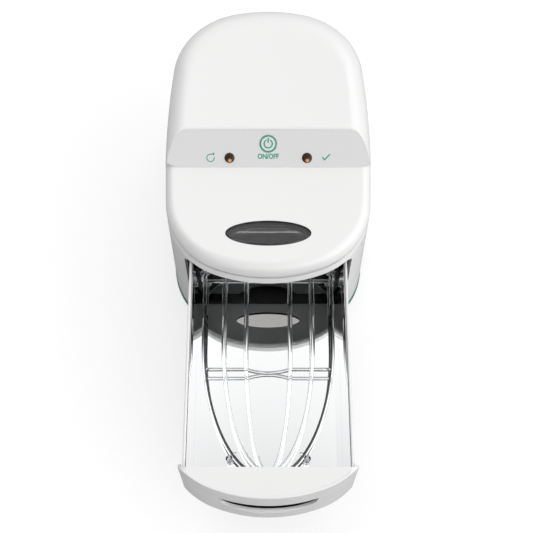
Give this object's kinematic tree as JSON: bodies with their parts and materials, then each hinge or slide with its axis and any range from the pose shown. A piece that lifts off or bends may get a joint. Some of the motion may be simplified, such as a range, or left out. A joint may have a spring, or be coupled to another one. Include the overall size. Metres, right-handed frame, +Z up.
{
  "type": "ultraviolet sanitizer cabinet",
  "caption": "Rounded table-top ultraviolet sanitizing cabinet with a mirror-lined slide-out drawer, clear rack, smoked window and sloping control band with a push button.",
  "frame": {"origin": "on the table, under the middle of the cabinet with its drawer open", "axes": "+Z up, +Y from the drawer's front toward the back of the cabinet, +X to the right as seen from the front"},
  "size_m": [0.199, 0.4817, 0.188],
  "materials": {
    "white_plastic": "glossy moulded white",
    "grey_plastic": "satin light grey",
    "teal_plastic": "glossy teal",
    "dark_plastic": "satin dark grey",
    "black_plastic": "satin black",
    "smoked_plastic": "smoked see-through",
    "amber_plastic": "dark amber domed",
    "clear_plastic": "clear polished",
    "lamp_glass": "clear tube",
    "mirror_sheet": "polished",
    "steel": "plain",
    "rubber": "matt",
    "board": "coated board"
  },
  "bodies": {
    "cabinet": {"base_plate": "white_plastic", "base_screw_back_left": "steel", "base_screw_back_right": "steel", "base_screw_front_left": "steel", "base_screw_front_right": "steel", "button_switch": "black_plastic", "ceiling_panel": "dark_plastic", "control_board": "board", "control_panel": "grey_plastic", "cycle_light": "amber_plastic", "drawer_bay": "white_plastic", "drawer_stop": "black_plastic", "foot_back_left": "rubber", "foot_back_right": "rubber", "foot_front_left": "rubber", "foot_front_right": "rubber", "lamp_baffle": "black_plastic", "lamp_ballast": "steel", "lamp_clip": "white_plastic", "lamp_reflector": "steel", "lamp_socket": "white_plastic", "power_board": "board", "power_choke": "steel", "power_inlet": "black_plastic", "rail_left": "steel", "rail_right": "steel", "ready_light": "amber_plastic", "safety_switch": "black_plastic", "trim_ring": "teal_plastic", "upper_housing": "white_plastic", "uv_lamp": "lamp_glass", "window_gasket": "black_plastic", "window_lens": "smoked_plastic"},
    "drawer": {"drawer_front": "white_plastic", "drawer_front_back": "white_plastic", "drawer_box": "white_plastic", "mirror_floor": "mirror_sheet", "mirror_wall_left": "mirror_sheet", "mirror_wall_right": "mirror_sheet", "mirror_wall_back": "mirror_sheet", "runner_left": "white_plastic", "runner_right": "white_plastic", "rack": "clear_plastic", "rack_foot_front_left": "clear_plastic", "rack_foot_front_right": "clear_plastic", "rack_foot_back_left": "clear_plastic", "rack_foot_back_right": "clear_plastic"},
    "button": {"power_button": "grey_plastic"}
  },
  "joints": [
    {"name": "drawer_slide", "type": "slide", "parent": "cabinet", "child": "drawer", "axis": [0, 1, 0], "range_m": [0, 0.192]},
    {"name": "button_press", "type": "slide", "parent": "cabinet", "child": "button", "axis": [0, 0.5484, -0.8362], "range_m": [0, 0.0008], "stiffness_N_per_m": 1500, "springref_m": -0.0006}
  ]
}
